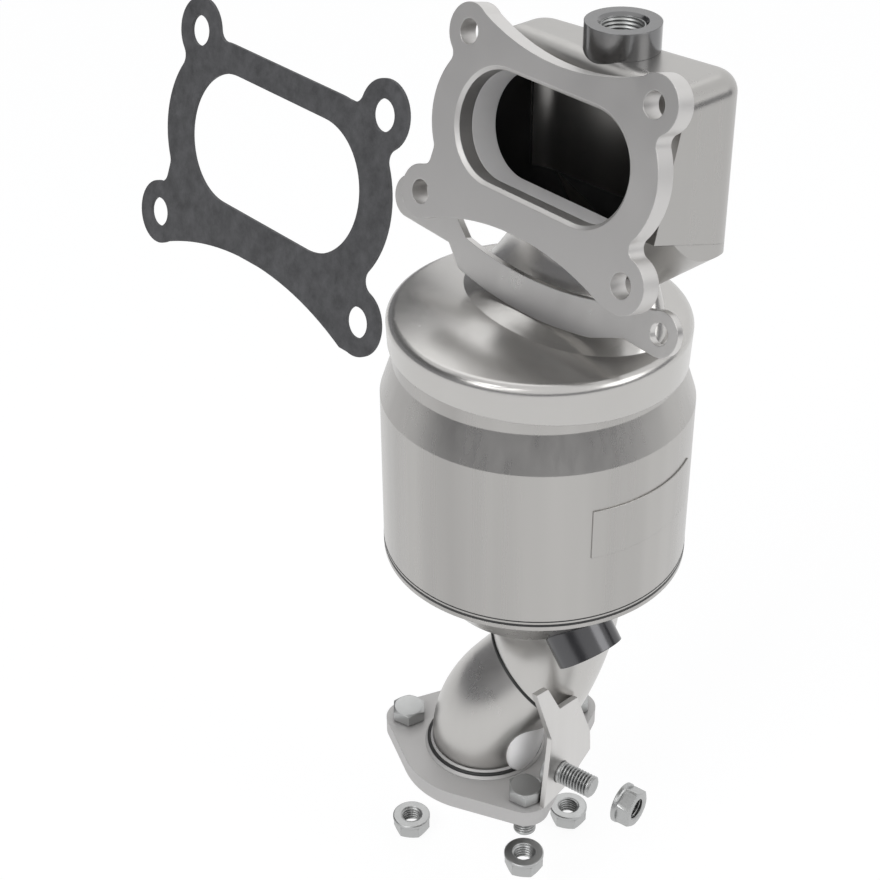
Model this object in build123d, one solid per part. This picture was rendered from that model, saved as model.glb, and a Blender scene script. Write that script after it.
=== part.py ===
from build123d import *
import math
import os

# Catalytic converter with an integral inlet chamber, millimetres.
# The can stands on +Z. The origin is the centre of the outlet flange's lower face.

# Outlet flange and pipe
OUTLET_FLANGE_T = 8.0
PIPE_OD = 48.0
PIPE_WALL = 1.8
PIPE_BEND_R = 40.0
OUTLET_LAND = 14.5
OUTLET_BOSS_R = PIPE_OD / 2 + OUTLET_LAND
OUTLET_EAR_R = 10.6
OUTLET_BOLTS = [(-35.0, 16.0), (17.0, -37.0), (42.0, 22.0)]
OUTLET_WELD = 3.4

# Can, placed from the outlet
CAN_X = 20.0
CAN_Y = 0.0
SHOULDER_Z = 198.0
CAN_R = 63.5
CAN_WALL = 1.5
CAN_STRAIGHT = 72.0
SHOULDER_STEP = 5.1
NECK_R = CAN_R - SHOULDER_STEP
SHOULDER_H = 15.4
NECK_TOP = 28.0

# Inside the can
MAT_T = 5.0
BRICK_R = CAN_R - CAN_WALL - MAT_T
BRICK_L = 62.0
BRICK_TOP_GAP = 5.0
CELL_PITCH = 11.0
CELL_SIZE = 8.0
MAT_SHORT = 6.0
BRICK_SKIN = 1.0

# Upper end cap
CAP_WALL = 1.2
CAP_FLARE = 0.9
CAP_TOP = 36.5
CAP_DOME = 1.2
RIM_ROUND = 4.0
SKIRT_MID = 20.5
SKIRT_SLOPE = 3.3

# Oval neck between the cap and the inlet chamber, square to a sloping seam
NECK_CENTRE = (18.0, 9.7, 57.0)
NECK_LEAN = 17.7
WAIST_W = 38.0
WAIST_D = 17.0
FUNNEL_W = 62.0
FUNNEL_D = 40.0
SEAM_UP = 22.0
NECK_IN = 2.5
HILL_FOOT = (6.0, 3.0)
HILL_FOOT_R = 49.0
HILL_SINK = 0.4
HILL_MID = (14.0, 7.0, 41.0)
HILL_MID_W = 46.0
HILL_MID_D = 21.0
HILL_MID_LEAN = 5.0

# Inlet chamber, a plan outline with upright walls
CHAMBER_WALL = 1.5
CHAMBER_TOP = 140.0
CHAMBER_LOW = 42.0
CHAMBER_ROUND = 7.5
CHAMBER_BACK = 38.0
CHAMBER_BACK_TURN = 48.2
CHAMBER_CORNER_R = 12.0
CHAMBER_LEFT_CORNER_R = 11.0
CHAMBER_SIDE_GAP = 2.2

# Inlet face, tilted up and turned to the front left
FACE_TURN = 49.27
FACE_TILT = 14.32
FACE_CENTRE = (-3.1, -17.8, 113.0)
INLET_FLANGE_T = 8.0
PORT_W = 87.0
PORT_H = 42.0
PORT_LIP = 1.4
INLET_HOLES = [(-45.5, 29.6), (47.8, 29.8), (-55.7, -35.8), (51.5, -34.0)]
INLET_HOLE_R = 4.8
INLET_EAR_R = 10.7
PORT_LAND = 14.0
PORT_LAND_H = 60.0
TOP_HOLLOW = 30.0
TOP_HOLLOW_R = 104.0
FOOT_HOLLOW = 34.8
FOOT_HOLLOW_R = 121.0
INNER_CORNER_R = 4.0
WEB_INSET = 0.2
COLLAR_WALL = 2.0
COLLAR_END = 20.5
CHAMBER_FACE = 18.0
COLLAR_WELD = 2.4

# Gasket, shown taken off along the face's axis
GASKET_T = 1.2
GASKET_GAP = 120.8
GASKET_HOLE_R = 4.9

# Sensor bungs
BUNG_R = 14.3
BUNG_BORE_R = 8.3
BUNG_LIP = 1.2
FRONT_BUNG = (28.1, 8.0)
FRONT_BUNG_TOP = 150.3
FRONT_BUNG_SINK = 14.0
REAR_BUNG_END = (22.4, -40.0, -105.4)
REAR_BUNG_AXIS = (0.437, -0.494, -0.751)
REAR_BUNG_L = 12.0
REAR_BUNG_SINK = 12.0

# Lower end: pan and outlet cone
LIP_T = 2.0
LOWER_PAN_STEP = 3.5
LOWER_PAN_R = CAN_R - LOWER_PAN_STEP
LOWER_PAN_DROP = 25.0
CONE_WALL = 1.8
MOUTH_STEP = 4.0
MOUTH_R = PIPE_OD / 2 + MOUTH_STEP
MID_SPREAD = 3.5
CONE_MID_R = MOUTH_R + MID_SPREAD
TOP_SPREAD = 7.5
LOWER_PAN_END_R = CONE_MID_R + TOP_SPREAD
CONE_MID = (6.0, 0.0, -116.0)
CONE_MID_TILT = 18.0
MOUTH = (3.0, 0.0, -146.0)
MOUTH_TILT = 45.0
PIPE_INTO_CONE = 4.0

# Upper strap bracket, a plate parallel to the inlet face
STRAP_BACK = 20.0
STRAP_T = 3.0
STRAP_LEFT = (-82.0, -48.0)
STRAP_RIGHT = (57.6, -52.2)
STRAP_EAR_R = 8.7
STRAP_HOLE_R = 4.25
STRAP_TOP = [(-58.0, -42.5), (-46.0, -53.0), (-8.5, -56.0), (28.0, -51.0)]
STRAP_LOW = [(42.0, -60.0), (27.0, -66.0), (-12.0, -70.0), (-47.0, -66.0), (-55.0, -58.0)]

# Lower bracket, an upright plate on the outlet flange
PLATE_T = 2.5
PLATE_FACE = 30.9
PLATE_TURN = 53.13
PLATE_FOOT = (-33.0, -6.0)
PLATE_EDGE = [
    (-5.0, -186.0), (4.0, -182.5), (3.0, -170.5), (-9.0, -142.5), (-23.0, -139.0),
    (-33.0, -121.0), (-41.5, -118.5), (-28.5, -153.0),
]
STUD_R = 5.0
STUD_AT = (-20.5, -177.5)
STUD_OUT = 17.0
STUD_HEAD_R = 8.0
STUD_HEAD_T = 4.0
STUD_NUT_OUT = 31.0

# M10 bolts and nuts
BOLT_R = 5.0
BOLT_CLEAR = 0.2
BOLT_L = 20.0
HEAD_AF = 14.2
HEAD_H = 6.6
HEAD_ROUND = 0.9
NUT_AF = 15.2
NUT_H = 8.5
NUT_DISC_R = 9.0
NUT_DISC_T = 2.2
NUT_BORE_R = 4.4
NUT_DROPS = [56.0, 27.0, 57.0]

# Label plate on the can
LABEL_W = 54.0
LABEL_H = 22.0
LABEL_T = 0.5
LABEL_GAP = 0.05
LABEL_TURN = 42.0
LABEL_Z = -29.0

os.makedirs("parts", exist_ok=True)

# All pieces are drawn about the can's shoulder and moved to the outlet at the end.
OUTLET_X = -CAN_X
OUTLET_Y = -CAN_Y
OUTLET_Z = -SHOULDER_Z
TO_OUTLET = Location((CAN_X, CAN_Y, SHOULDER_Z))
CAN_FOOT = -CAN_STRAIGHT


def write(name, solid):
    export_step(solid.moved(TO_OUTLET), f"parts/{name}.step")


def turned(points):
    """A ring from a closed outline of (radius, height) points."""
    face = make_face(Polyline(*[(r, 0, z) for r, z in points], close=True))
    return revolve(face, Axis.Z)


def skin(*rings):
    """A smooth solid through round sections."""
    return loft([ring.face() for ring in rings])


def unit(turn, tilt=0.0):
    """A direction turned from -Y towards -X and tilted up, in degrees."""
    flat = math.cos(math.radians(tilt))
    return Vector(
        -math.sin(math.radians(turn)) * flat,
        -math.cos(math.radians(turn)) * flat,
        math.sin(math.radians(tilt)),
    )


FACE_N = unit(FACE_TURN, FACE_TILT)
FACE_LEVEL = unit(FACE_TURN)
FACE_ACROSS = Vector(-FACE_LEVEL.Y, FACE_LEVEL.X, 0)


def face_plane(depth):
    """The plane parallel to the inlet face, depth behind it."""
    centre = Vector(*FACE_CENTRE) - FACE_N * depth
    return Plane(origin=centre, x_dir=FACE_ACROSS, z_dir=FACE_N)


def behind_face(sketch, start, thickness):
    """A plate that starts some way behind the face and runs further back."""
    return extrude(face_plane(start) * sketch, -thickness)


def port(grow=0.0):
    return SlotOverall(PORT_W + 2 * grow, PORT_H + 2 * grow)


def lune(start, end, hollow, radius, side):
    """The web between two ears, hollowed by a large arc."""
    tip = side * (INLET_EAR_R - WEB_INSET)
    web = Polygon(start, end, (end[0], end[1] + tip), (start[0], start[1] + tip), align=None)
    middle = (start[0] + end[0]) / 2
    return web - Pos(middle, side * (hollow + radius)) * Circle(radius)


def inlet_outline(hollow_top):
    """The four-eared outline of the inlet flange and its gasket."""
    top_left, top_right, low_left, low_right = INLET_HOLES
    outline = Polygon(low_left, low_right, top_right, top_left, align=None)
    outline += SlotOverall(PORT_W + 2 * PORT_LAND, PORT_LAND_H)
    for hole in INLET_HOLES:
        outline += Pos(*hole) * Circle(INLET_EAR_R)
    if hollow_top:
        outline += lune(top_left, top_right, TOP_HOLLOW, TOP_HOLLOW_R, 1)
    outline += lune(low_right, low_left, FOOT_HOLLOW, FOOT_HOLLOW_R, -1)
    outline = offset(outline, INNER_CORNER_R)
    return offset(outline, -INNER_CORNER_R)


def plate_holes(radius):
    return Sketch() + [Pos(*hole) * Circle(radius) for hole in INLET_HOLES]


def inlet_flange():
    plate = behind_face(inlet_outline(True) - plate_holes(INLET_HOLE_R), 0, INLET_FLANGE_T)
    plate -= behind_face(port(), 0, INLET_FLANGE_T)
    lip = face_plane(0) * port(PORT_LIP)
    return plate - extrude(lip, -PORT_LIP, taper=45)


def inlet_gasket():
    sheet = inlet_outline(False) - plate_holes(GASKET_HOLE_R) - port()
    return behind_face(sheet, -GASKET_GAP, GASKET_T)


def inlet_collar():
    ring = port(COLLAR_WALL) - port()
    return behind_face(ring, INLET_FLANGE_T, COLLAR_END - INLET_FLANGE_T)


def collar_weld():
    ring = port(COLLAR_WALL + COLLAR_WELD) - port(COLLAR_WALL)
    return behind_face(ring, INLET_FLANGE_T, COLLAR_WELD)


def chamber_reach(side, back):
    """How far a side wall runs from the face's middle line to the back wall."""
    return (CHAMBER_BACK - side.dot(back)) / -FACE_LEVEL.dot(back)


def chamber_plan(inset):
    """The plan outline of the inlet chamber, run out past its front."""
    side = PORT_W / 2 + COLLAR_WALL + CHAMBER_SIDE_GAP
    centre = Vector(FACE_CENTRE[0], FACE_CENTRE[1], 0)
    back = Vector(math.cos(math.radians(CHAMBER_BACK_TURN)), math.sin(math.radians(CHAMBER_BACK_TURN)), 0)
    left = centre - FACE_ACROSS * side
    right = centre + FACE_ACROSS * side
    left_back = left - FACE_LEVEL * chamber_reach(left, back)
    right_back = right - FACE_LEVEL * chamber_reach(right, back)
    front = FACE_LEVEL * CAN_R
    spots = [left + front, left_back, right_back, right + front]
    radii = [0, CHAMBER_LEFT_CORNER_R, CHAMBER_CORNER_R, 0]
    outline = FilletPolyline(*[(p.X, p.Y) for p in spots], radius=radii, close=True)
    return offset(make_face(outline), -inset)


def chamber_block(inset, low, high):
    """Upright walls between two heights, cut off parallel to the inlet face."""
    block = Pos(0, 0, low) * extrude(chamber_plan(inset), high - low)
    knife = face_plane(CHAMBER_FACE + inset)
    return split(block, bisect_by=knife, keep=Keep.BOTTOM)


def neck_plane(lean, centre, lift=0.0):
    """A plane that leans back from the inlet face, with its x across the face."""
    rise = -FACE_LEVEL * math.sin(math.radians(lean)) + Vector(0, 0, math.cos(math.radians(lean)))
    return Plane(origin=Vector(*centre) + rise * lift, x_dir=FACE_ACROSS, z_dir=rise)


def seam_plane():
    return neck_plane(NECK_LEAN, NECK_CENTRE, SEAM_UP)


def oval(lean, centre, lift, width, depth):
    return neck_plane(lean, centre, lift) * Ellipse(width, depth)


def chamber_upper(inset):
    block = chamber_block(inset, CHAMBER_LOW, CHAMBER_TOP - inset)
    top = block.faces().sort_by(Axis.Z)[-1]
    block = fillet(top.edges(), CHAMBER_ROUND - inset)
    return split(block, bisect_by=seam_plane(), keep=Keep.TOP)


def chamber_lower(inset):
    """The funnel below the seam, from the chamber's walls in to the neck."""
    waist = oval(NECK_LEAN, NECK_CENTRE, 0, WAIST_W - inset, WAIST_D - inset)
    wide = oval(NECK_LEAN, NECK_CENTRE, SEAM_UP, FUNNEL_W - inset, FUNNEL_D - inset)
    return skin(waist, wide) & chamber_block(inset, CHAMBER_LOW, CHAMBER_TOP - inset)


def inlet_chamber():
    shell = chamber_upper(0) - chamber_upper(CHAMBER_WALL)
    shell -= behind_face(port(COLLAR_WALL), 0, COLLAR_END)
    return shell - front_bung_core(BUNG_BORE_R)


def inlet_pan():
    shell = chamber_lower(0) - chamber_lower(CHAMBER_WALL)
    return shell - behind_face(port(COLLAR_WALL), 0, COLLAR_END)


def front_bung_core(radius):
    low = FRONT_BUNG_TOP - FRONT_BUNG_SINK - BUNG_R
    return Pos(*FRONT_BUNG, low) * extrude(Circle(radius), FRONT_BUNG_TOP - low)


def bung_lip():
    return Cone(BUNG_BORE_R, BUNG_BORE_R + BUNG_LIP, BUNG_LIP, align=(Align.CENTER, Align.CENTER, Align.MAX))


def front_sensor_bung():
    low = FRONT_BUNG_TOP - FRONT_BUNG_SINK
    body = Pos(*FRONT_BUNG, low) * extrude(Circle(BUNG_R), FRONT_BUNG_SINK)
    body -= chamber_upper(0)
    body -= front_bung_core(BUNG_BORE_R)
    return body - Pos(*FRONT_BUNG, FRONT_BUNG_TOP) * bung_lip()


def cap_turn(wall):
    """The turned part of the upper cap: skirt, rolled rim and shallow dome."""
    low = SKIRT_MID - 2 * SKIRT_SLOPE
    out = NECK_R + CAP_WALL - wall
    rim = out + CAP_FLARE
    top = CAP_TOP - wall
    bend = RIM_ROUND - wall
    knee = math.sqrt(0.5) * bend
    roll = ThreePointArc(
        (rim, 0, top - bend), (rim - bend + knee, 0, top - bend + knee), (rim - bend, 0, top)
    )
    wire = [
        Line((0, 0, low), (out, 0, low)),
        Line((out, 0, low), (rim, 0, top - bend)),
        roll,
        Line((rim - bend, 0, top), (0, 0, top + CAP_DOME)),
        Line((0, 0, top + CAP_DOME), (0, 0, low)),
    ]
    return revolve(make_face(Curve() + wire), Axis.Z)


def cap_hill(wall):
    """The hill that rises from the dome to the neck and a little way into the funnel."""
    inset = CHAMBER_WALL + wall
    foot = Pos(*HILL_FOOT, CAP_TOP - HILL_SINK - wall) * Circle(HILL_FOOT_R - wall)
    middle = oval(HILL_MID_LEAN, HILL_MID, -wall, HILL_MID_W - wall, HILL_MID_D - wall)
    waist = oval(NECK_LEAN, NECK_CENTRE, 0, WAIST_W - inset, WAIST_D - inset)
    tip = extrude(waist, NECK_IN)
    return skin(foot, middle, waist) + tip


def cap_outer():
    return cap_turn(0) + cap_hill(0)


def upper_cap():
    shell = cap_outer() - cap_turn(CAP_WALL) - cap_hill(CAP_WALL)
    lean = math.degrees(math.atan2(SKIRT_SLOPE, CAN_R))
    below = Plane(origin=(0, 0, SKIRT_MID), z_dir=(math.sin(math.radians(lean)), 0, math.cos(math.radians(lean))))
    return split(shell, bisect_by=below, keep=Keep.TOP)


def can_shell():
    inner = CAN_R - CAN_WALL
    neck = NECK_R - CAN_WALL
    return turned([
        (inner, CAN_FOOT), (CAN_R, CAN_FOOT), (CAN_R, 0), (NECK_R, SHOULDER_H), (NECK_R, NECK_TOP),
        (neck, NECK_TOP), (neck, SHOULDER_H - CAN_WALL / 2), (inner, -CAN_WALL / 2),
    ])


def label_plate():
    inner = CAN_R + LABEL_GAP
    ring = turned([
        (inner, LABEL_Z - LABEL_H / 2), (inner + LABEL_T, LABEL_Z - LABEL_H / 2),
        (inner + LABEL_T, LABEL_Z + LABEL_H / 2), (inner, LABEL_Z + LABEL_H / 2),
    ])
    way = Rot(0, 0, LABEL_TURN - 90) * Pos(CAN_R, 0, LABEL_Z)
    return ring & (way * Box(CAN_R, LABEL_W, LABEL_H))


def brick_top():
    return -BRICK_TOP_GAP


def ceramic_brick():
    body = Pos(0, 0, brick_top() - BRICK_L) * extrude(Circle(BRICK_R), BRICK_L)
    reach = int(BRICK_R // CELL_PITCH)
    cells = Sketch()
    for column in range(-reach, reach + 1):
        for row in range(-reach, reach + 1):
            corner = math.hypot(abs(column) * CELL_PITCH + CELL_SIZE / 2, abs(row) * CELL_PITCH + CELL_SIZE / 2)
            if corner < BRICK_R - BRICK_SKIN:
                cells += Pos(column * CELL_PITCH, row * CELL_PITCH) * Rectangle(CELL_SIZE, CELL_SIZE)
    return body - Pos(0, 0, brick_top() - BRICK_L) * extrude(cells, BRICK_L)


def support_mat():
    top = brick_top() - MAT_SHORT / 2
    low = brick_top() - BRICK_L + MAT_SHORT / 2
    inner = CAN_R - CAN_WALL
    return turned([(BRICK_R, low), (inner, low), (inner, top), (BRICK_R, top)])


def mesh_seal(top, low):
    inner = CAN_R - CAN_WALL
    return turned([(BRICK_R, low), (inner, low), (inner, top), (BRICK_R, top)])


def lower_pan():
    lip = CAN_FOOT
    foot = lip - LIP_T
    end = foot - LOWER_PAN_DROP
    inner = LOWER_PAN_R - CONE_WALL
    pan = turned([
        (inner, lip), (CAN_R, lip), (CAN_R, foot), (LOWER_PAN_R, foot),
        (LOWER_PAN_END_R, end), (LOWER_PAN_END_R - CONE_WALL, end), (inner, foot),
    ])
    return pan - rear_bung_core(BUNG_BORE_R, REAR_BUNG_L + REAR_BUNG_SINK)


def pan_end():
    return CAN_FOOT - LIP_T - LOWER_PAN_DROP


def cone_body(wall):
    """The skewed outlet cone, from a level collar to a mouth that faces down and left."""
    start = Pos(0, 0, pan_end()) * Circle(LOWER_PAN_END_R - wall)
    waist = Pos(*CONE_MID) * Rot(0, CONE_MID_TILT, 0) * Circle(CONE_MID_R - wall)
    mouth = Pos(*MOUTH) * Rot(0, MOUTH_TILT, 0) * Circle(MOUTH_R - wall)
    return skin(start, waist, mouth)


def rear_bung_frame():
    return Plane(origin=REAR_BUNG_END, z_dir=REAR_BUNG_AXIS).location


def rear_bung_core(radius, length):
    return rear_bung_frame() * Pos(0, 0, -length) * extrude(Circle(radius), length)


def outlet_cone():
    shell = cone_body(0) - cone_body(CONE_WALL)
    return shell - rear_bung_core(BUNG_BORE_R, REAR_BUNG_L + REAR_BUNG_SINK)


def rear_sensor_bung():
    body = rear_bung_core(BUNG_R, REAR_BUNG_L + REAR_BUNG_SINK) - cone_body(0)
    body -= rear_bung_core(BUNG_BORE_R, REAR_BUNG_L + REAR_BUNG_SINK)
    body -= rear_bung_frame() * bung_lip()
    body -= turned([
        (0, pan_end()), (LOWER_PAN_END_R, pan_end()), (LOWER_PAN_R, CAN_FOOT - LIP_T),
        (CAN_R, CAN_FOOT), (0, CAN_FOOT),
    ])
    return body.solids().sort_by(SortBy.VOLUME)[-1]


def pipe_path():
    mouth = Vector(*MOUTH)
    way = Vector(-math.sin(math.radians(MOUTH_TILT)), 0, -math.cos(math.radians(MOUTH_TILT)))
    start = mouth - way * PIPE_INTO_CONE
    run = (OUTLET_X - start.X) / way.X
    corner = start + way * run
    end = Vector(OUTLET_X, OUTLET_Y, OUTLET_Z)
    return FilletPolyline(start, corner, end, radius=PIPE_BEND_R)


def outlet_elbow():
    path = pipe_path()
    section = Plane(origin=path @ 0, z_dir=path % 0) * (Circle(PIPE_OD / 2) - Circle(PIPE_OD / 2 - PIPE_WALL))
    return sweep(section, path=path)


def mouth_ring():
    """The step that closes the cone's mouth onto the pipe."""
    frame = Pos(*MOUTH) * Rot(0, MOUTH_TILT, 0)
    ring = frame * extrude(Circle(MOUTH_R) - Circle(PIPE_OD / 2), CONE_WALL)
    return ring & cone_body(CONE_WALL)


def outlet_outline():
    edges = Circle(OUTLET_BOSS_R).edges()
    for spot in OUTLET_BOLTS:
        edges += (Pos(*spot) * Circle(OUTLET_EAR_R)).edges()
    return make_hull(edges)


def outlet_flange():
    plate = outlet_outline() - Circle(PIPE_OD / 2)
    plate -= Sketch() + [Pos(*spot) * Circle(BOLT_R + BOLT_CLEAR) for spot in OUTLET_BOLTS]
    plate = extrude(plate, OUTLET_FLANGE_T)
    return Pos(OUTLET_X, OUTLET_Y, OUTLET_Z) * plate


def foot_weld():
    base = OUTLET_Z + OUTLET_FLANGE_T
    ring = turned([(PIPE_OD / 2, 0), (PIPE_OD / 2 + OUTLET_WELD, 0), (PIPE_OD / 2, OUTLET_WELD)])
    return Pos(OUTLET_X, OUTLET_Y, base) * ring


def hexagon(across_flats):
    return RegularPolygon(across_flats / 2, 6, major_radius=False)


def rounded_hex(across_flats, height):
    """A hexagonal prism with its upper corners turned off."""
    prism = extrude(hexagon(across_flats), height)
    half = across_flats / 2
    corner = half / math.cos(math.radians(30))
    cone = turned([(0, 0), (corner, 0), (corner, height - HEAD_ROUND * (corner - half)), (half, height), (0, height)])
    return prism & cone


def flange_bolt():
    """A hexagon bolt, its bearing face at zero and its shank below."""
    shank = Pos(0, 0, -BOLT_L) * extrude(Circle(BOLT_R), BOLT_L)
    return rounded_hex(HEAD_AF, HEAD_H) + shank


def disc_nut():
    """A nut with a round bearing disc on top, its bearing face at zero."""
    body = Pos(0, 0, -NUT_H) * extrude(hexagon(NUT_AF), NUT_H - NUT_DISC_T)
    disc = Pos(0, 0, -NUT_DISC_T) * extrude(Circle(NUT_DISC_R), NUT_DISC_T)
    return body + disc - Pos(0, 0, -NUT_H) * extrude(Circle(NUT_BORE_R), NUT_H)


def at_bolts(piece, drops):
    spots = zip(OUTLET_BOLTS, drops)
    return Compound([Pos(OUTLET_X + x, OUTLET_Y + y, OUTLET_Z - drop) * piece for (x, y), drop in spots])


def strap_outline():
    """The strap that hangs between its two ears, in the inlet face's own plane."""
    left_x, left_y = STRAP_LEFT
    right_x, right_y = STRAP_RIGHT
    top_in, top_dip, top_mid, top_out = STRAP_TOP
    low_in, low_dip, low_mid, low_end, low_out = STRAP_LOW
    left_top = (left_x, left_y + STRAP_EAR_R)
    left_low = (left_x, left_y - STRAP_EAR_R)
    right_top = (right_x, right_y + STRAP_EAR_R)
    right_low = (right_x, right_y - STRAP_EAR_R)
    wire = [
        Polyline(left_top, top_in, top_dip),
        ThreePointArc(top_dip, top_mid, top_out),
        Polyline(top_out, right_top, right_low, low_in, low_dip),
        ThreePointArc(low_dip, low_mid, low_end),
        Polyline(low_end, low_out, left_low, left_top),
    ]
    outline = make_face(Curve() + wire)
    for ear in (STRAP_LEFT, STRAP_RIGHT):
        outline += Pos(*ear) * Circle(STRAP_EAR_R)
    for ear in (STRAP_LEFT, STRAP_RIGHT):
        outline -= Pos(*ear) * Circle(STRAP_HOLE_R)
    return outline


def upper_bracket():
    strap = behind_face(strap_outline(), STRAP_BACK, STRAP_T)
    return (strap - cap_outer()).solids().sort_by(SortBy.VOLUME)[-1]


def bracket_plane():
    """The lower bracket's outer face, with its x along the plate and its y up."""
    out = Vector(math.sin(math.radians(PLATE_TURN)), -math.cos(math.radians(PLATE_TURN)), 0)
    along = Vector(-out.Y, out.X, 0)
    return Plane(origin=out * PLATE_FACE, x_dir=along, z_dir=out)


def lower_bracket():
    foot = OUTLET_Z + OUTLET_FLANGE_T
    left, right = PLATE_FOOT
    outline = Polygon((left, foot), (right, foot), *PLATE_EDGE, align=None)
    outline -= Pos(*STUD_AT) * Circle(STUD_R + BOLT_CLEAR)
    plate = extrude(bracket_plane() * outline, -PLATE_T)
    return (plate - cone_body(0)).solids().sort_by(SortBy.VOLUME)[-1]


def stud_frame():
    return bracket_plane().location * Pos(*STUD_AT, 0)


def bracket_stud():
    shank = Pos(0, 0, -PLATE_T) * extrude(Circle(STUD_R), PLATE_T + STUD_OUT)
    head = Pos(0, 0, -PLATE_T - STUD_HEAD_T) * extrude(Circle(STUD_HEAD_R), STUD_HEAD_T)
    return stud_frame() * (shank + head)


def bracket_nut():
    return stud_frame() * Pos(0, 0, STUD_NUT_OUT) * Rot(180, 0, 0) * disc_nut()


write("inlet_flange", inlet_flange())
write("inlet_gasket", inlet_gasket())
write("inlet_collar", inlet_collar())
write("collar_weld", collar_weld())
write("inlet_chamber", inlet_chamber())
write("inlet_pan", inlet_pan())
write("front_sensor_bung", front_sensor_bung())
write("upper_cap", upper_cap())
write("can_shell", can_shell())
write("label_plate", label_plate())
write("ceramic_brick", ceramic_brick())
write("support_mat", support_mat())
write("front_mesh_seal", mesh_seal(brick_top(), brick_top() - MAT_SHORT / 2))
write("rear_mesh_seal", mesh_seal(brick_top() - BRICK_L + MAT_SHORT / 2, brick_top() - BRICK_L))
write("lower_pan", lower_pan())
write("outlet_cone", outlet_cone())
write("rear_sensor_bung", rear_sensor_bung())
write("outlet_elbow", outlet_elbow())
write("mouth_ring", mouth_ring())
write("outlet_flange", outlet_flange())
write("foot_weld", foot_weld())
write("flange_bolts", at_bolts(flange_bolt(), [-OUTLET_FLANGE_T] * len(OUTLET_BOLTS)))
write("flange_nuts", at_bolts(disc_nut(), NUT_DROPS))
write("upper_bracket", upper_bracket())
write("lower_bracket", lower_bracket())
write("bracket_stud", bracket_stud())
write("bracket_nut", bracket_nut())
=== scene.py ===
import math

import bpy
from mathutils import Matrix, Vector
from mathutils.bvhtree import BVHTree


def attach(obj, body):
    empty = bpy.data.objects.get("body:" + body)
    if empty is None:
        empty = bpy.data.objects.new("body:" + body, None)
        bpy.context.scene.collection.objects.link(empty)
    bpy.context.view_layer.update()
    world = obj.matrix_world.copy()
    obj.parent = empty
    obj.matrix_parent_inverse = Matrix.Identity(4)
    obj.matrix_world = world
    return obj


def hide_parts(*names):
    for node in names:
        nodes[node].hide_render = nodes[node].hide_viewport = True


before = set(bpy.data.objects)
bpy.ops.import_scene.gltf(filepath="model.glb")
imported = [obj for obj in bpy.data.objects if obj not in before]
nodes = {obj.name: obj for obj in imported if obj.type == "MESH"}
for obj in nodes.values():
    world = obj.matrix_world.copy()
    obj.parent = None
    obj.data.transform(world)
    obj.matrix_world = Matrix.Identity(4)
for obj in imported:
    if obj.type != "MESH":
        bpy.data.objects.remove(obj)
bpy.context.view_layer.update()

MM = 0.001
UP = Vector((0, 0, 1))

# Places shared with the frame, in millimetres
CAN = Vector((20.0, 0.0, 198.0))
CAN_R = 63.5
CAN_FOOT = -72.0
FACE_TURN = 49.27
FACE_TILT = 14.32
FACE_CENTRE = CAN + Vector((-3.1, -17.8, 113.0))
OUTLET_BOLTS = [(-35.0, 16.0), (17.0, -37.0), (42.0, 22.0)]
FLANGE_T = 8.0
NUT_DROPS = [56.0, 27.0, 57.0]
PLATE_FACE = 30.9
PLATE_TURN = 53.13
PLATE_T = 2.5
STUD_AT = (-20.5, -177.5)
STUD_OUT = 17.0
STUD_NUT_OUT = 31.0
FRONT_BUNG = Vector((28.1, 8.0, 150.3))
REAR_BUNG = Vector((22.4, -40.0, -105.4))
REAR_AXIS = Vector((0.437, -0.494, -0.751)).normalized()
FLOOR_Z = -66.5


# Mesh helpers

SMOOTH_ANGLE = 32.0
NEARLY_UPRIGHT = 0.99
AROUND = 60


def add_mesh(name, verts, faces):
    mesh = bpy.data.meshes.new(name)
    mesh.from_pydata([tuple(c * MM for c in v) for v in verts], [], faces)
    mesh.validate()
    mesh.polygons.foreach_set("use_smooth", [True] * len(mesh.polygons))
    mesh.set_sharp_from_angle(angle=math.radians(SMOOTH_ANGLE))
    mesh.update()
    piece = bpy.data.objects.new(name, mesh)
    bpy.context.scene.collection.objects.link(piece)
    return piece


def ring_faces(rings, count, loop):
    faces = []
    last = rings if loop else rings - 1
    for i in range(last):
        low = i * count
        high = (i + 1) % rings * count
        for j in range(count):
            k = (j + 1) % count
            faces.append((low + j, low + k, high + k, high + j))
    return faces


def tube_of_rings(rings, place=None, loop=False):
    """Vertices and faces of a skin through rings of equal size, closed on itself or by its two ends."""
    count = len(rings[0])
    verts = [Vector(p) for ring in rings for p in ring]
    if place is not None:
        verts = [place @ v for v in verts]
    faces = ring_faces(len(rings), count, loop)
    if not loop:
        faces.append(tuple(range(count - 1, -1, -1)))
        top = (len(rings) - 1) * count
        faces.append(tuple(range(top, top + count)))
    return verts, faces


def join(parts):
    verts = []
    faces = []
    for part_verts, part_faces in parts:
        start = len(verts)
        verts += list(part_verts)
        faces += [tuple(start + i for i in face) for face in part_faces]
    return verts, faces


def turns(count):
    return [2 * math.pi * i / count for i in range(count)]


def circle(radius, z, count=AROUND):
    return [(radius * math.cos(turn), radius * math.sin(turn), z) for turn in turns(count)]


def lathe(outline, count=AROUND):
    """Rings through an outline's points, each a radius and a height."""
    return [circle(radius, z, count) for radius, z in outline]


def frame_at(origin, z_dir, x_dir=None):
    """A place with its own axes; without x_dir its X axis is level."""
    z = Vector(z_dir).normalized()
    if x_dir is not None:
        x = Vector(x_dir)
    elif abs(z.z) < NEARLY_UPRIGHT:
        x = UP.cross(z)
    else:
        x = Vector((1, 0, 0))
    x = (x - z * x.dot(z)).normalized()
    y = z.cross(x)
    matrix = Matrix((x, y, z)).transposed().to_4x4()
    return Matrix.Translation(origin) @ matrix


def leaning(tilt):
    """Straight up, tipped towards +X by some degrees."""
    return Vector((math.sin(math.radians(tilt)), 0, math.cos(math.radians(tilt))))


# Threads and hexagons

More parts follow.
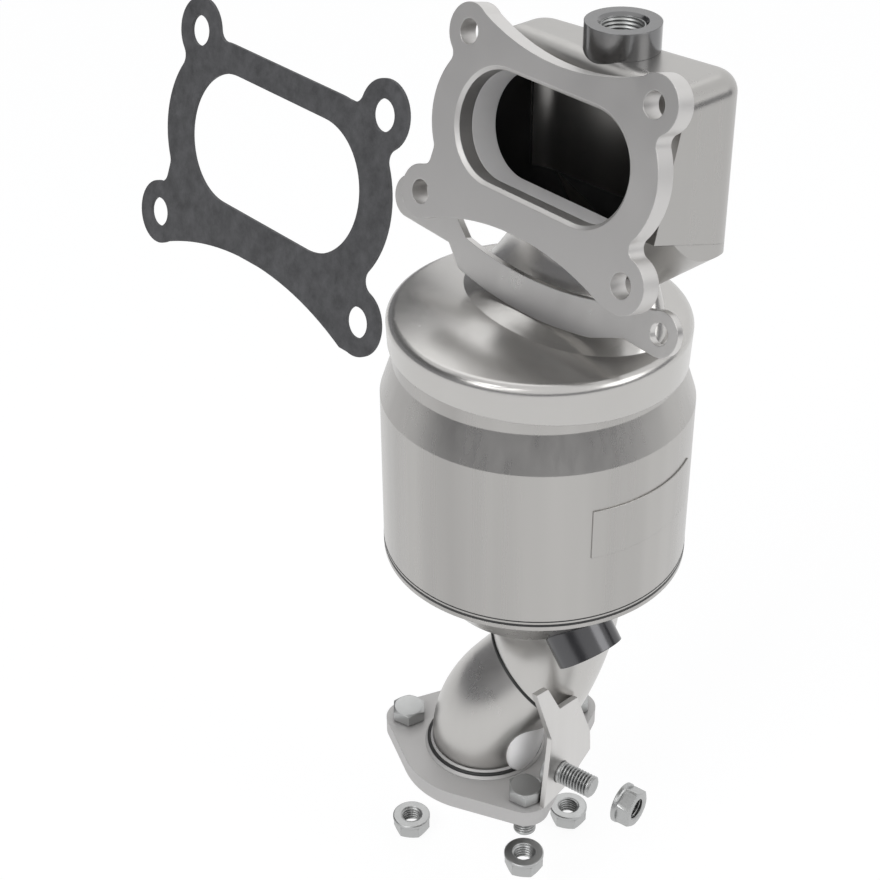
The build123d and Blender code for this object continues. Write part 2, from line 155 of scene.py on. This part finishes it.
THREAD_STEPS = 10
THREAD_PITCH = 1.5
THREAD_DEPTH = 0.9
THREAD_FLANK = 0.42
HEX_SLICE = math.pi / 3


def thread_rings(radius, depth, low, high, inside=False):
    """Rings whose radius follows a thread; the groove is on the air side, and an outer thread fades out."""
    rings = []
    steps = int((high - low) / THREAD_PITCH * THREAD_STEPS)
    for i in range(steps + 1):
        z = low + (high - low) * i / steps
        fade = 1.0 if inside else max(0.0, min(1.0, (z - low) / THREAD_PITCH, (high - z) / THREAD_PITCH))
        ring = []
        for j, turn in enumerate(turns(AROUND)):
            share = (z / THREAD_PITCH - j / AROUND) % 1.0
            groove = max(0.0, 1.0 - abs(share - 0.5) / THREAD_FLANK)
            step = depth * groove * fade
            r = radius + step if inside else radius - step
            ring.append((r * math.cos(turn), r * math.sin(turn), z))
        rings.append(ring)
    return rings


def hex_ring(half, z, slope=0.0, start=0.0):
    """A hexagonal ring; with a slope its corners drop below z from the start radius outwards."""
    ring = []
    for turn in turns(AROUND):
        slice_turn = (turn + HEX_SLICE / 2) % HEX_SLICE - HEX_SLICE / 2
        r = half / math.cos(slice_turn)
        drop = max(0.0, r - start) * slope
        ring.append((r * math.cos(turn), r * math.sin(turn), z - drop))
    return ring


# A hexagon bolt, its head's foot at z = 0, as outlines of radius and height

BOLT_R = 5.0
BOLT_LENGTH = 20.0
BOLT_HALF = 14.2 / 2
BOLT_HEAD_H = 6.6
BOLT_HEX_FOOT = 0.9
BOLT_CORNER_SLOPE = 0.55
BOLT_TOP_R = BOLT_HALF * 0.93
BOLT_FOOT = [(BOLT_HALF * 0.90, 0.0), (BOLT_HALF * 0.96, 0.5)]
BOLT_DISH = [(BOLT_TOP_R, BOLT_HEAD_H), (BOLT_TOP_R - 0.9, BOLT_HEAD_H - 0.12), (1.0, BOLT_HEAD_H - 0.14)]
BOLT_TIP = [(BOLT_R - 1.0, -BOLT_LENGTH), (BOLT_R - 0.75, -BOLT_LENGTH + 0.05)]
BOLT_THREAD = (-BOLT_LENGTH + 0.6, -1.0)
BOLT_NECK = [(BOLT_R, -0.8), (BOLT_R, 0.3)]


def bolt_parts(place):
    head = lathe(BOLT_FOOT)
    head.append(hex_ring(BOLT_HALF, BOLT_HEX_FOOT))
    head.append(hex_ring(BOLT_HALF, BOLT_HEAD_H, BOLT_CORNER_SLOPE, BOLT_TOP_R))
    head += lathe(BOLT_DISH)
    shank = lathe(BOLT_TIP) + thread_rings(BOLT_R, THREAD_DEPTH, *BOLT_THREAD) + lathe(BOLT_NECK)
    return [tube_of_rings(head, place), tube_of_rings(shank, place)]


# A disc nut, its bearing disc on top at z = 0 and its hexagon below

NUT_HALF = 15.2 / 2
NUT_H = 8.5
NUT_BORE_R = 4.35
NUT_DISC_R = 9.0
NUT_DISC_T = 2.2
NUT_HEX_TOP = -NUT_DISC_T - 0.25
NUT_CORNER_SLOPE = -0.5
NUT_FOOT_R = NUT_HALF * 0.97
NUT_DISC = [
    (NUT_BORE_R + 0.7, -0.25), (NUT_BORE_R + 1.0, 0.0), (NUT_DISC_R - 0.5, 0.0), (NUT_DISC_R, -0.35),
    (NUT_DISC_R, -NUT_DISC_T + 0.5), (NUT_DISC_R - 0.35, -NUT_DISC_T),
]
NUT_FOOT = [(NUT_FOOT_R, -NUT_H), (NUT_BORE_R + 0.9, -NUT_H)]
NUT_THREAD = (-NUT_H + 0.4, -0.4)


def nut_parts(place):
    rings = lathe(NUT_DISC)
    rings.append(hex_ring(NUT_HALF, NUT_HEX_TOP))
    rings.append(hex_ring(NUT_HALF, -NUT_H, NUT_CORNER_SLOPE, NUT_FOOT_R))
    rings += lathe(NUT_FOOT)
    rings += thread_rings(NUT_BORE_R, THREAD_DEPTH, *NUT_THREAD, inside=True)
    return [tube_of_rings(rings[::-1], place, loop=True)]


# The bracket's stud, its foot in the plate and z = 0 on the plate's face

STUD_R = 5.0
STUD_FOOT = [(7.0, -PLATE_T - 4.0), (8.0, -PLATE_T - 3.2), (8.0, -PLATE_T)]
STUD_NECK = [(STUD_R, -PLATE_T), (STUD_R, 0.6)]
STUD_THREAD = (0.8, STUD_OUT - 0.6)
STUD_TIP = [(4.2, STUD_OUT)]


def stud_part(place):
    rings = lathe(STUD_FOOT) + lathe(STUD_NECK)
    rings += thread_rings(STUD_R, THREAD_DEPTH, *STUD_THREAD)
    return tube_of_rings(rings + lathe(STUD_TIP), place)


def stud_axis():
    """Where the stud leaves the bracket's plate, and the way it points."""
    turn = math.radians(PLATE_TURN)
    out = Vector((math.sin(turn), -math.cos(turn), 0))
    along = Vector((-out.y, out.x, 0))
    foot = CAN + out * PLATE_FACE + along * STUD_AT[0] + UP * STUD_AT[1]
    return foot, out


# Node helpers for materials

MIX_DARK = 6
MIX_LIGHT = 7
MIX_RESULT = 2


def new_material(name):
    material = bpy.data.materials.new(name)
    material.use_nodes = True
    tree = material.node_tree
    shader = tree.nodes["Principled BSDF"]
    return material, tree, shader


def operate(tree, kind, operation, *values):
    """A mathematics node; each value is a plain one or another node's socket."""
    made = tree.nodes.new(kind)
    made.operation = operation
    for socket, value in zip(made.inputs, values):
        if isinstance(value, (tuple, float)):
            socket.default_value = value
        else:
            tree.links.new(value, socket)
    return made.outputs[0]


def noise_at(tree, coords, scale, stretch=(1, 1, 1), detail=3.0, rough=0.55):
    mapping = tree.nodes.new("ShaderNodeMapping")
    mapping.inputs["Scale"].default_value = stretch
    tree.links.new(coords, mapping.inputs["Vector"])
    made = tree.nodes.new("ShaderNodeTexNoise")
    made.inputs["Scale"].default_value = scale
    made.inputs["Detail"].default_value = detail
    made.inputs["Roughness"].default_value = rough
    tree.links.new(mapping.outputs["Vector"], made.inputs["Vector"])
    return made.outputs["Fac"]


def span(tree, value, low, high, from_low=0.3, from_high=0.7):
    made = tree.nodes.new("ShaderNodeMapRange")
    made.inputs["From Min"].default_value = from_low
    made.inputs["From Max"].default_value = from_high
    made.inputs["To Min"].default_value = low
    made.inputs["To Max"].default_value = high
    tree.links.new(value, made.inputs["Value"])
    return made.outputs["Result"]


def shade(tree, factor, dark, light):
    """Mix two colours, each a plain one or another node's socket."""
    made = tree.nodes.new("ShaderNodeMix")
    made.data_type = "RGBA"
    for index, colour in ((MIX_DARK, dark), (MIX_LIGHT, light)):
        if isinstance(colour, tuple):
            made.inputs[index].default_value = (*colour, 1)
        else:
            tree.links.new(colour, made.inputs[index])
    tree.links.new(factor, made.inputs["Factor"])
    return made.outputs[MIX_RESULT]


def bump(tree, height, strength, distance, normal=None):
    """Relief in the shading; the distance is in millimetres."""
    made = tree.nodes.new("ShaderNodeBump")
    made.inputs["Strength"].default_value = strength
    made.inputs["Distance"].default_value = distance * MM
    tree.links.new(height, made.inputs["Height"])
    if normal is not None:
        tree.links.new(normal, made.inputs["Normal"])
    return made.outputs["Normal"]


def lean_outwards(tree, coords, normal, swell):
    """Lean a nearly flat pressing's shading away from the can's axis, as a slightly crowned sheet has it."""
    axis = tuple(-c * MM for c in (CAN.x, CAN.y, 0.0))
    off_axis = operate(tree, "ShaderNodeVectorMath", "ADD", coords, axis)
    level = operate(tree, "ShaderNodeVectorMath", "MULTIPLY", off_axis, (swell, swell, 0.0))
    leant = operate(tree, "ShaderNodeVectorMath", "ADD", normal, level)
    return operate(tree, "ShaderNodeVectorMath", "NORMALIZE", leant)


# Satin, pressed, cast and plated metal

# Painted shade in narrow corners: occlusion samples, how dark, and the openness over which it fades
CREVICE_SHADE_SAMPLES = 6
CREVICE_SHADE_SHARE = 0.12
CREVICE_SHADE_SPAN = (0.35, 0.85)
CLOUD_SCALE = 26.0
STREAK_SHARE = 0.6
CLOUD_SHARE = 0.4
ROUGH_SPAN = (0.2, 0.8)
BEVEL_SAMPLES = 4
WAVE_RELIEF = 4.0
GRAIN_RELIEF = 0.3


def crevice_shade(tree, colour, dark, reach):
    """Painted shade: darken a colour in corners narrower than a reach in millimetres."""
    open_air = tree.nodes.new("ShaderNodeAmbientOcclusion")
    open_air.samples = CREVICE_SHADE_SAMPLES
    open_air.inputs["Distance"].default_value = reach * MM
    shade_colour = tuple(c * CREVICE_SHADE_SHARE for c in dark)
    return shade(tree, span(tree, open_air.outputs["AO"], 0.0, 1.0, *CREVICE_SHADE_SPAN), shade_colour, colour)


def metal(name, dark, light, rough, grain=900.0, streak=(260, 260, 5), waves=(22, 22, 1.2),
          wave_depth=0.10, grain_depth=0.04, edge=0.5, metallic=1.0, crevice=None, swell=None,
          reflection_band_stretch=(1, 1, 1)):
    material, tree, shader = new_material(name)
    coords = tree.nodes.new("ShaderNodeTexCoord").outputs["Object"]
    # Random tone; stretched upright, it also paints vertical reflection bands into the colour
    cloud = noise_at(tree, coords, CLOUD_SCALE, reflection_band_stretch, detail=2.0)
    streaks = noise_at(tree, coords, 1.0, streak, detail=3.0)
    fine = noise_at(tree, coords, grain, detail=2.0)
    long_wave = noise_at(tree, coords, 1.0, waves, detail=0.3)
    colour = shade(tree, cloud, dark, light)
    # Painted shade in crevices, where a reach is given
    if crevice is not None:
        colour = crevice_shade(tree, colour, dark, crevice)
    tree.links.new(colour, shader.inputs["Base Color"])
    shader.inputs["Metallic"].default_value = metallic
    clouding = span(tree, cloud, 0.0, CLOUD_SHARE)
    both = operate(tree, "ShaderNodeMath", "MULTIPLY_ADD", streaks, STREAK_SHARE, clouding)
    tree.links.new(span(tree, both, *rough, *ROUGH_SPAN), shader.inputs["Roughness"])
    bevel = tree.nodes.new("ShaderNodeBevel")
    bevel.samples = BEVEL_SAMPLES
    bevel.inputs["Radius"].default_value = edge * MM
    normal = bevel.outputs["Normal"]
    if swell is not None:
        normal = lean_outwards(tree, coords, normal, swell)
    wavy = bump(tree, long_wave, wave_depth, WAVE_RELIEF, normal)
    grainy = bump(tree, fine, grain_depth, GRAIN_RELIEF, wavy)
    tree.links.new(grainy, shader.inputs["Normal"])
    return material


# Gasket sheet, painted shade, ceramic and fibre

ROUGH_DROP = 0.12
FINE_SCALE = 1400.0
FINE_DEPTH = 0.15
FINE_RELIEF = 0.2
COARSE_RELIEF = 0.5


def matte(name, dark, light, rough, scale, depth):
    material, tree, shader = new_material(name)
    coords = tree.nodes.new("ShaderNodeTexCoord").outputs["Object"]
    cloud = noise_at(tree, coords, scale, detail=5.0, rough=0.65)
    fine = noise_at(tree, coords, FINE_SCALE, detail=2.0)
    tree.links.new(shade(tree, span(tree, cloud, 0.0, 1.0), dark, light), shader.inputs["Base Color"])
    tree.links.new(span(tree, cloud, rough - ROUGH_DROP, rough), shader.inputs["Roughness"])
    coarse = bump(tree, cloud, depth, COARSE_RELIEF)
    tree.links.new(bump(tree, fine, FINE_DEPTH, FINE_RELIEF, coarse), shader.inputs["Normal"])
    return material


# The looks, and which node has which

# The can's tone noise is stretched upright into streaks: painted reflection bands as well as tone that
# differs at random
STAINLESS = metal("stainless_satin", (0.30, 0.293, 0.284), (0.56, 0.549, 0.532), (0.22, 0.34),
                  waves=(34, 34, 0.8), wave_depth=0.22, grain_depth=0.012, reflection_band_stretch=(1.5, 1.5, 0.04))
PRESSED = metal("stainless_pressed", (0.50, 0.49, 0.475), (0.57, 0.56, 0.545), (0.26, 0.36),
                waves=(14, 14, 9), wave_depth=0.03, grain_depth=0.015)
CAP = metal("cap_satin", (0.50, 0.49, 0.475), (0.56, 0.55, 0.535), (0.20, 0.28),
            waves=(14, 14, 9), wave_depth=0.02, grain_depth=0.01, metallic=0.9, swell=2.6)
BOX = metal("box_satin", (0.40, 0.392, 0.38), (0.45, 0.442, 0.43), (0.26, 0.36),
            waves=(14, 14, 5), wave_depth=0.03, grain_depth=0.015)
MACHINED = metal("machined_face", (0.60, 0.59, 0.58), (0.64, 0.63, 0.62), (0.42, 0.54),
                 streak=(90, 90, 60), waves=(10, 10, 6), wave_depth=0.03, grain_depth=0.015)
CAST = metal("cast_flange", (0.54, 0.53, 0.52), (0.60, 0.59, 0.58), (0.50, 0.62),
             streak=(90, 90, 60), waves=(10, 10, 6), wave_depth=0.03, metallic=0.35)
BRACKET = metal("bracket_sheet", (0.58, 0.57, 0.555), (0.66, 0.65, 0.64), (0.26, 0.40),
                waves=(12, 12, 8), wave_depth=0.04)
DARK = metal("dark_bung", (0.07, 0.07, 0.073), (0.13, 0.13, 0.135), (0.16, 0.28),
             waves=(18, 18, 4), wave_depth=0.05)
BUNG = metal("grey_bung", (0.17, 0.17, 0.172), (0.24, 0.24, 0.243), (0.16, 0.28),
             waves=(18, 18, 4), wave_depth=0.05)
# The zinc takes painted shade in corners and thread grooves within 1.6 mm
ZINC = metal("zinc_plated", (0.40, 0.405, 0.405), (0.48, 0.485, 0.48), (0.30, 0.44),
             waves=(40, 40, 20), wave_depth=0.04, edge=0.3, crevice=1.6)
WELD = metal("weld_bead", (0.30, 0.285, 0.27), (0.50, 0.485, 0.465), (0.26, 0.46),
             waves=(60, 60, 60), wave_depth=0.12)
# Painted shade: near-black matte for the film inside the inlet chamber
SHADE_FILM_LOOK = matte("painted_shade_inside", (0.004, 0.004, 0.004), (0.009, 0.009, 0.009), 0.62, 90.0, 0.1)
# Painted highlight: near-white and barely metallic, for the bulge on the elbow
PAINTED_HIGHLIGHT = metal("painted_highlight_bulge", (0.93, 0.92, 0.91), (0.97, 0.96, 0.95), (0.34, 0.44),
               waves=(30, 30, 30), wave_depth=0.03, metallic=0.1)
# Painted light: near-white and barely metallic, so the collar's rim shows as a light band
COLLAR = metal("collar_painted_light", (0.90, 0.89, 0.88), (0.95, 0.94, 0.93), (0.40, 0.52),
               waves=(30, 30, 30), wave_depth=0.05, metallic=0.15)
# Painted shade: near-black metal for the seam lines and the mouth ring, standing in for the shade in their
# creases
SEAM_SHADE = metal("seam_shade", (0.02, 0.02, 0.02), (0.05, 0.05, 0.05), (0.35, 0.5), metallic=0.4)
GASKET = matte("gasket_sheet", (0.045, 0.045, 0.047), (0.10, 0.10, 0.104), 0.72, 190.0, 0.3)
CERAMIC = matte("brick_ceramic", (0.55, 0.50, 0.40), (0.68, 0.63, 0.52), 0.9, 120.0, 0.2)
MAT = matte("mat_fibre", (0.66, 0.64, 0.60), (0.80, 0.78, 0.73), 0.95, 400.0, 0.6)
MESH = metal("knitted_wire", (0.25, 0.25, 0.25), (0.5, 0.5, 0.5), (0.4, 0.6),
             grain=1500.0, grain_depth=0.6)

LOOKS = {
    "inlet_flange": MACHINED, "inlet_gasket": GASKET, "inlet_collar": COLLAR, "collar_weld": WELD,
    "inlet_chamber": BOX, "inlet_pan": BOX, "front_sensor_bung": BUNG, "upper_cap": CAP,
    "can_shell": STAINLESS, "label_plate": STAINLESS, "ceramic_brick": CERAMIC, "support_mat": MAT,
    "front_mesh_seal": MESH, "rear_mesh_seal": MESH, "lower_pan": STAINLESS, "outlet_cone": PRESSED,
    # The mouth ring takes the near-black painted shade of the seams
    "rear_sensor_bung": DARK, "outlet_elbow": PRESSED, "mouth_ring": SEAM_SHADE, "outlet_flange": CAST,
    "foot_weld": CAST, "flange_bolts": ZINC, "flange_nuts": ZINC, "upper_bracket": BRACKET,
    "lower_bracket": BRACKET, "bracket_stud": ZINC, "bracket_nut": ZINC,
}
for name, look in LOOKS.items():
    piece = nodes[name]
    if piece.material_slots:
        for material_slot in piece.material_slots:
            material_slot.material = look
    else:
        piece.data.materials.append(look)


def dress(piece, look, slot, *stands_for):
    piece.data.materials.append(look)
    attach(piece, "root")
    if stands_for:
        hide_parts(*stands_for)


# Bolts, nuts and the stud with their threads, each bolt and nut turned a little differently

NUT_TURN = 0.4

parts = []
for i, (x, y) in enumerate(OUTLET_BOLTS):
    parts += bolt_parts(frame_at((x, y, FLANGE_T), UP, (math.cos(i), math.sin(i), 0)))
dress(add_mesh("bolts_threaded", *join(parts)), ZINC, "zinc_steel", "flange_bolts")

parts = []
for i, ((x, y), drop) in enumerate(zip(OUTLET_BOLTS, NUT_DROPS)):
    parts += nut_parts(frame_at((x, y, -drop), UP, (math.cos(i + NUT_TURN), math.sin(i + NUT_TURN), 0)))
dress(add_mesh("nuts_threaded", *join(parts)), ZINC, "zinc_steel", "flange_nuts")

stud_foot, stud_out = stud_axis()
stud = stud_part(frame_at(stud_foot, stud_out))
dress(add_mesh("stud_threaded", *stud), ZINC, "zinc_steel", "bracket_stud")

nut = nut_parts(frame_at(stud_foot + stud_out * STUD_NUT_OUT, -stud_out))
dress(add_mesh("bracket_nut_threaded", *join(nut)), ZINC, "zinc_steel", "bracket_nut")


# Threads inside the two sensor bungs

BUNG_THREAD_R = 7.7
BUNG_THREAD_DEPTH = 0.5
BUNG_THREAD_SPAN = (-12.0, -1.25)
BUNG_SKIN_R = 8.26


def bung_thread(place):
    skin = lathe([(BUNG_SKIN_R, z) for z in BUNG_THREAD_SPAN])
    crest = thread_rings(BUNG_THREAD_R, BUNG_THREAD_DEPTH, *BUNG_THREAD_SPAN, inside=True)
    return tube_of_rings(skin + crest[::-1], place, loop=True)


threads = [
    bung_thread(frame_at(CAN + FRONT_BUNG, UP)),
    bung_thread(frame_at(CAN + REAR_BUNG, REAR_AXIS)),
]
dress(add_mesh("bung_threads", *join(threads)), ZINC, "dark_steel")


# Painted shade: near-black lines under the can, at the mouth of the cone and at the elbow's foot, standing
# in for the shade along these seams

SEAM_AROUND = 180
SEAM_PROUD = 0.07
SEAM_SINK = 0.25
SEAM_LINES = [(0.0, 1.1), (2.1, 2.6)]
LINE_STEPS = 12
LINE_AROUND = 120
MOUTH = Vector((3.0, 0.0, -146.0))
MOUTH_TILT = 45.0
MOUTH_R = 28.0
MOUTH_SINK = 0.4
MOUTH_DROP = 0.5
MOUTH_LINE = 0.9
FOOT_LINE_R = 25.6
FOOT_LINE_Z = 10.0
FOOT_LINE = 0.85


def flat_line(radius, low, high):
    """A closed flat ring that stands a hair proud of a round wall."""
    inner = radius - SEAM_SINK
    outer = radius + SEAM_PROUD
    rings = lathe([(inner, low), (outer, low), (outer, high), (inner, high)], SEAM_AROUND)
    return tube_of_rings(rings, Matrix.Translation(CAN), loop=True)


def round_line(radius, z, thick, place=None):
    """A thin round wire bent to a circle."""
    outline = [(radius + thick * math.cos(turn), z + thick * math.sin(turn)) for turn in turns(LINE_STEPS)]
    return tube_of_rings(lathe(outline, LINE_AROUND), place, loop=True)


seams = [flat_line(CAN_R, CAN_FOOT + low, CAN_FOOT + high) for low, high in SEAM_LINES]
dress(add_mesh("can_foot_seam_shade", *join(seams)), SEAM_SHADE, "weld_steel")

mouth_place = frame_at(CAN + MOUTH, leaning(MOUTH_TILT))
mouth_shade_line = round_line(MOUTH_R - MOUTH_SINK, -MOUTH_DROP, MOUTH_LINE, mouth_place)
dress(add_mesh("cone_mouth_shade_line", *mouth_shade_line), SEAM_SHADE, "weld_steel")

foot_shade_line = round_line(FOOT_LINE_R, FOOT_LINE_Z, FOOT_LINE)
dress(add_mesh("foot_shade_line", *foot_shade_line), SEAM_SHADE, "weld_steel")


# Painted highlight: a near-white bulge low on the elbow's right, standing in for the bright patch at the
# elbow's crease

BULGE_AT = Vector((17.6, -16.4, 22.5))
BULGE_OUT = Vector((0.69, -0.72, 0.0))
BULGE_SIZE = (10.0, 15.5, 6.0)
BULGE_TILT = 26.0
BULGE_STEPS = 24
BULGE_AROUND = 48
POLE_GAP = 0.02


def dome_rings(wide, tall, deep):
    """Rings of an ellipsoid, the first and last a hair off its poles."""
    rings = []
    for i in range(BULGE_STEPS + 1):
        share = math.pi * (i + POLE_GAP) / (BULGE_STEPS + 2 * POLE_GAP)
        reach = math.sin(share)
        rings.append([
            (wide * reach * math.cos(turn), tall * reach * math.sin(turn), -deep * math.cos(share))
            for turn in turns(BULGE_AROUND)
        ])
    return rings


bulge_place = frame_at(BULGE_AT, BULGE_OUT, BULGE_OUT.cross(leaning(BULGE_TILT)))
dress(add_mesh("elbow_highlight_bulge", *tube_of_rings(dome_rings(*BULGE_SIZE), bulge_place)), PAINTED_HIGHLIGHT, "stainless")


# Painted shade on the walls inside the inlet chamber: a near-black film a hair off the metal, standing in
# for the shade deep in the hollow

SHADE_LIFT = 0.12
SHADE_LOW = 46.0
SHADE_BEHIND_FACE = 14.0
SHADE_FEELER = 0.5
SLIVER = 1e-6


def face_normal():
    """The way that the inlet flange's face looks."""
    tilt = math.radians(FACE_TILT)
    turn = math.radians(FACE_TURN)
    level = Vector((-math.sin(turn), -math.cos(turn), 0))
    return level * math.cos(tilt) + UP * math.sin(tilt)


def world_faces(name):
    piece = nodes[name]
    matrix = piece.matrix_world
    spots = [(matrix @ v.co) / MM for v in piece.data.vertices]
    return spots, [tuple(p.vertices) for p in piece.data.polygons]


def shade_film(names, open_to):
    """A lifted copy of the faces well inside a hollow, to carry painted shade: what lies in front of them is
    wall, not open air.
    """
    spots, faces = join([world_faces(name) for name in names])
    tree = BVHTree.FromPolygons(spots, faces)
    lifts = [Vector() for _ in spots]
    kept = []
    for face in faces:
        corners = [spots[i] for i in face]
        centre = sum(corners, Vector()) / len(corners)
        normal = (corners[1] - corners[0]).cross(corners[2] - corners[0])
        if normal.length < SLIVER:
            continue
        normal.normalize()
        if centre.z < CAN.z + SHADE_LOW or (FACE_CENTRE - centre).dot(open_to) < SHADE_BEHIND_FACE:
            continue
        hit = tree.ray_cast(centre + normal * SHADE_FEELER, normal)
        if hit[0] is None:
            continue
        kept.append(face)
        for i in face:
            lifts[i] += normal
    moved = [spot + lift.normalized() * SHADE_LIFT for spot, lift in zip(spots, lifts)]
    used = sorted({i for face in kept for i in face})
    place = {old: new for new, old in enumerate(used)}
    return [moved[i] for i in used], [tuple(place[i] for i in face) for face in kept]


shade_sheet = shade_film(["inlet_chamber", "inlet_pan"], face_normal())
dress(add_mesh("chamber_shade_film", *shade_sheet), SHADE_FILM_LOOK, "stainless")


# Camera at the photograph's viewing angle

CAMERA_AT = Vector((-19.4, -614.8, 579.3))
PITCH = math.radians(33.45)
ROLL = math.radians(-0.53)
PHOTO_SPAN = 880.0
FOCAL_PX = 1796.0
SENSOR = 36.0
CLIP_START = 0.01

camera_data = bpy.data.cameras.new("camera")
camera_data.sensor_width = SENSOR
camera_data.lens = FOCAL_PX / PHOTO_SPAN * SENSOR
camera_data.clip_start = CLIP_START
camera = bpy.data.objects.new("camera", camera_data)
bpy.context.scene.collection.objects.link(camera)
ahead = Vector((0, math.cos(PITCH), -math.sin(PITCH)))
side = Vector((1, 0, 0))
upright = side.cross(ahead)
right = side * math.cos(ROLL) + upright * math.sin(ROLL)
top = -side * math.sin(ROLL) + upright * math.cos(ROLL)
aimed = Matrix((right, top, -ahead)).transposed().to_4x4()
camera.matrix_world = Matrix.Translation(CAMERA_AT * MM) @ aimed
bpy.context.scene.camera = camera
bpy.context.scene.view_settings.view_transform = "Standard"


# Studio surfaces

FLOOR_R = 4200.0
FLOOR_AROUND = 96
FLOOR_COLOUR = (0.86, 0.86, 0.86, 1)
FLOOR_WHITE = 0.84
PALE_ROUGH = 0.9
PALE_GLOW = 1.08
WALL_START = 97.0
BAND_R = 2600.0
BAND_LOW = -20.0
BAND_HIGH = 900.0
BAND_END = 375.0
BAND_STEPS = 96
BAND_GREY = (0.95, 0.95, 1.0, 1)
BAND_GLOW = 0.22
BACK_R = 2500.0
BACK_HIGH = 2350.0
BACK_END = 215.0
BACK_STEPS = 48
BACK_GREY = (0.97, 0.97, 1.0, 1)
BACK_GLOW = 0.08
PANEL_AT = Vector((0.0, 1350.0, 2450.0))
PANEL_R = 1250.0
PANEL_AROUND = 48
PANEL_GLOW = 1.5
BLACK = (0, 0, 0, 1)
WHITE = (1, 1, 1, 1)


def seen_directly(tree):
    """1 where the camera, a mirror or glass looks at a surface, and 0 for scattered light."""
    path = tree.nodes.new("ShaderNodeLightPath")
    mirrored = operate(tree, "ShaderNodeMath", "MAXIMUM", path.outputs["Is Camera Ray"],
                       path.outputs["Is Glossy Ray"])
    return operate(tree, "ShaderNodeMath", "MAXIMUM", mirrored, path.outputs["Is Transmission Ray"])


def pale_surface(name, colour, shown):
    """A diffuse surface that the camera and mirrors see mostly as plain white."""
    material, tree, shader = new_material(name)
    shader.inputs["Base Color"].default_value = colour
    shader.inputs["Roughness"].default_value = PALE_ROUGH
    glow = tree.nodes.new("ShaderNodeEmission")
    glow.inputs["Strength"].default_value = PALE_GLOW
    share = operate(tree, "ShaderNodeMath", "MULTIPLY", seen_directly(tree), shown)
    mix = tree.nodes.new("ShaderNodeMixShader")
    tree.links.new(share, mix.inputs["Fac"])
    tree.links.new(shader.outputs["BSDF"], mix.inputs[1])
    tree.links.new(glow.outputs["Emission"], mix.inputs[2])
    tree.links.new(mix.outputs["Shader"], tree.nodes["Material Output"].inputs["Surface"])
    return material


def mirror_only(piece, name, colour, strength):
    """Let only mirrors see a studio piece, glowing in one colour."""
    look, _, look_shader = new_material(name)
    look_shader.inputs["Base Color"].default_value = BLACK
    look_shader.inputs["Emission Color"].default_value = colour
    look_shader.inputs["Emission Strength"].default_value = strength
    piece.data.materials.append(look)
    piece.visible_camera = False
    piece.visible_diffuse = False
    piece.visible_shadow = False
    piece.visible_transmission = False


def arc_wall(radius, low, high, start, end, count):
    """An upright wall round the part, from one azimuth in degrees to another."""
    verts = []
    for i in range(count + 1):
        turn = math.radians(start + (end - start) * i / count)
        spot = (radius * math.cos(turn), radius * math.sin(turn))
        verts += [(*spot, low), (*spot, high)]
    faces = [(2 * i, 2 * i + 2, 2 * i + 3, 2 * i + 1) for i in range(count)]
    return verts, faces


floor = add_mesh("studio_floor", circle(FLOOR_R, FLOOR_Z, FLOOR_AROUND), [tuple(range(FLOOR_AROUND))])
floor.data.materials.append(pale_surface("pale_floor", FLOOR_COLOUR, FLOOR_WHITE))

# A dim band round most of the horizon, so that steep metal keeps its tone
band_wall = arc_wall(BAND_R, BAND_LOW, BAND_HIGH, WALL_START, BAND_END, BAND_STEPS)
band = add_mesh("studio_band", *band_wall)
mirror_only(band, "band_grey", BAND_GREY, BAND_GLOW)

# A dim backdrop behind and to the left darkens the near level metal
back_wall = arc_wall(BACK_R, BAND_HIGH, BACK_HIGH, WALL_START, BACK_END, BACK_STEPS)
backdrop = add_mesh("studio_backdrop", *back_wall)
mirror_only(backdrop, "backdrop_grey", BACK_GREY, BACK_GLOW)

# A bright panel overhead lights the rims
panel_place = frame_at(PANEL_AT, -PANEL_AT)
panel_rim = [panel_place @ Vector(v) for v in circle(PANEL_R, 0.0, PANEL_AROUND)]
panel = add_mesh("studio_panel", panel_rim, [tuple(range(PANEL_AROUND))])
mirror_only(panel, "panel_white", WHITE, PANEL_GLOW)


# Surroundings, a dim sky for scattered light and plain white for what looks at it directly

SKY_COLOUR = (0.96, 0.97, 1.0, 1)
SKY_STRENGTH = 0.55

world = bpy.data.worlds.new("studio")
world.use_nodes = True
bpy.context.scene.world = world
sky = world.node_tree
dim = sky.nodes["Background"]
dim.inputs["Color"].default_value = SKY_COLOUR
dim.inputs["Strength"].default_value = SKY_STRENGTH
white = sky.nodes.new("ShaderNodeBackground")
white.inputs["Color"].default_value = WHITE
sky_mix = sky.nodes.new("ShaderNodeMixShader")
sky.links.new(seen_directly(sky), sky_mix.inputs["Fac"])
sky.links.new(dim.outputs["Background"], sky_mix.inputs[1])
sky.links.new(white.outputs["Background"], sky_mix.inputs[2])
sky.links.new(sky_mix.outputs["Shader"], sky.nodes["World Output"].inputs["Surface"])


# Two soft lamps, aimed at the can

LAMP_AIM = Vector((20.0, 0.0, 200.0))
KEY_AT = Vector((-900.0, -1100.0, 1500.0))
KEY_SIZE = 1000.0
KEY_WATTS = 9.0
FILL_AT = Vector((1300.0, -700.0, 900.0))
FILL_SIZE = 900.0
FILL_WATTS = 4.0


def soft_lamp(name, place, size, power):
    data = bpy.data.lights.new(name, "AREA")
    data.shape = "DISK"
    data.size = size * MM
    data.energy = power
    lamp = bpy.data.objects.new(name, data)
    bpy.context.scene.collection.objects.link(lamp)
    lamp.matrix_world = frame_at(place * MM, place - LAMP_AIM)


soft_lamp("key", KEY_AT, KEY_SIZE, KEY_WATTS)
soft_lamp("fill", FILL_AT, FILL_SIZE, FILL_WATTS)
